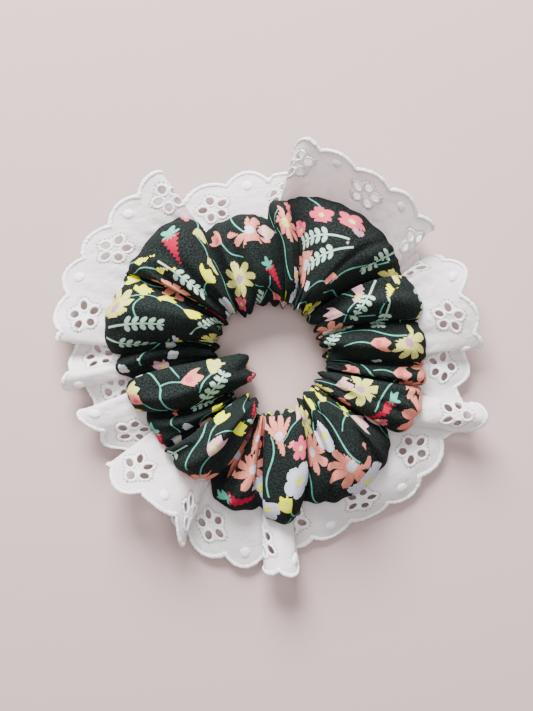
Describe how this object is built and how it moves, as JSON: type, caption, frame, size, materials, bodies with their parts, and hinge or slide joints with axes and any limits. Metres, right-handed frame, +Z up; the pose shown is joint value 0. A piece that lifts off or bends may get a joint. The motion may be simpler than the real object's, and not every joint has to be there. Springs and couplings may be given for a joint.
{
  "type": "scrunchie",
  "caption": "Gathered cloth hair tie: a puffed floral casing round a stretch loop, with a ruffled, scalloped eyelet lace frill sewn into its outer edge.",
  "frame": {"origin": "middle of the whole piece seen from above, on the plane it rests on", "axes": "+Z is up through the open middle, out of the side with the frill's right side; the ring lies in the X-Y plane, with its widest cloth puff towards +X +Y"},
  "size_m": [0.1448, 0.1464, 0.0306],
  "materials": {
    "floral_cotton": "woven cotton with a scattered flower print",
    "eyelet_cotton": "white plain weave",
    "braided_elastic": "ribbed braid over rubber",
    "white_thread": "satin embroidery thread",
    "dark_thread": "spun sewing thread"
  },
  "bodies": {
    "cover": {"fabric_cover": "floral_cotton", "lace_trim": "eyelet_cotton", "seam_needle_thread": "dark_thread", "seam_bobbin_thread": "dark_thread", "cover_closing_thread": "dark_thread", "lace_join_thread": "white_thread", "scallop_edge_cord": "white_thread", "eyelet_flower_01": "white_thread", "eyelet_flower_02": "white_thread", "eyelet_flower_03": "white_thread", "eyelet_flower_04": "white_thread", "eyelet_flower_05": "white_thread", "eyelet_flower_06": "white_thread", "eyelet_flower_07": "white_thread", "eyelet_flower_08": "white_thread", "eyelet_flower_09": "white_thread", "eyelet_flower_10": "white_thread", "eyelet_flower_11": "white_thread", "eyelet_flower_12": "white_thread", "eyelet_flower_13": "white_thread", "eyelet_flower_14": "white_thread", "eyelet_flower_15": "white_thread", "eyelet_flower_16": "white_thread", "eyelet_flower_17": "white_thread", "eyelet_flower_18": "white_thread", "eyelet_flower_19": "white_thread", "eyelet_flower_20": "white_thread", "eyelet_flower_21": "white_thread", "eyelet_flower_22": "white_thread", "raised_dot_01": "white_thread", "raised_dot_02": "white_thread", "raised_dot_03": "white_thread", "raised_dot_04": "white_thread", "raised_dot_05": "white_thread", "raised_dot_06": "white_thread", "raised_dot_07": "white_thread", "raised_dot_08": "white_thread", "raised_dot_09": "white_thread", "raised_dot_10": "white_thread", "raised_dot_11": "white_thread", "raised_dot_12": "white_thread", "raised_dot_13": "white_thread", "raised_dot_14": "white_thread", "raised_dot_15": "white_thread", "raised_dot_16": "white_thread", "raised_dot_17": "white_thread", "raised_dot_18": "white_thread", "raised_dot_19": "white_thread", "raised_dot_20": "white_thread", "raised_dot_21": "white_thread", "raised_dot_22": "white_thread"},
    "elastic": {"elastic_band": "braided_elastic", "elastic_join_stitches": "white_thread"}
  },
  "joints": [
    {"name": "elastic_travel", "type": "hinge", "parent": "cover", "child": "elastic", "pos_m": [0.00094, -0.00028, 0.007], "axis": [0, 0, 1], "continuous": true}
  ]
}
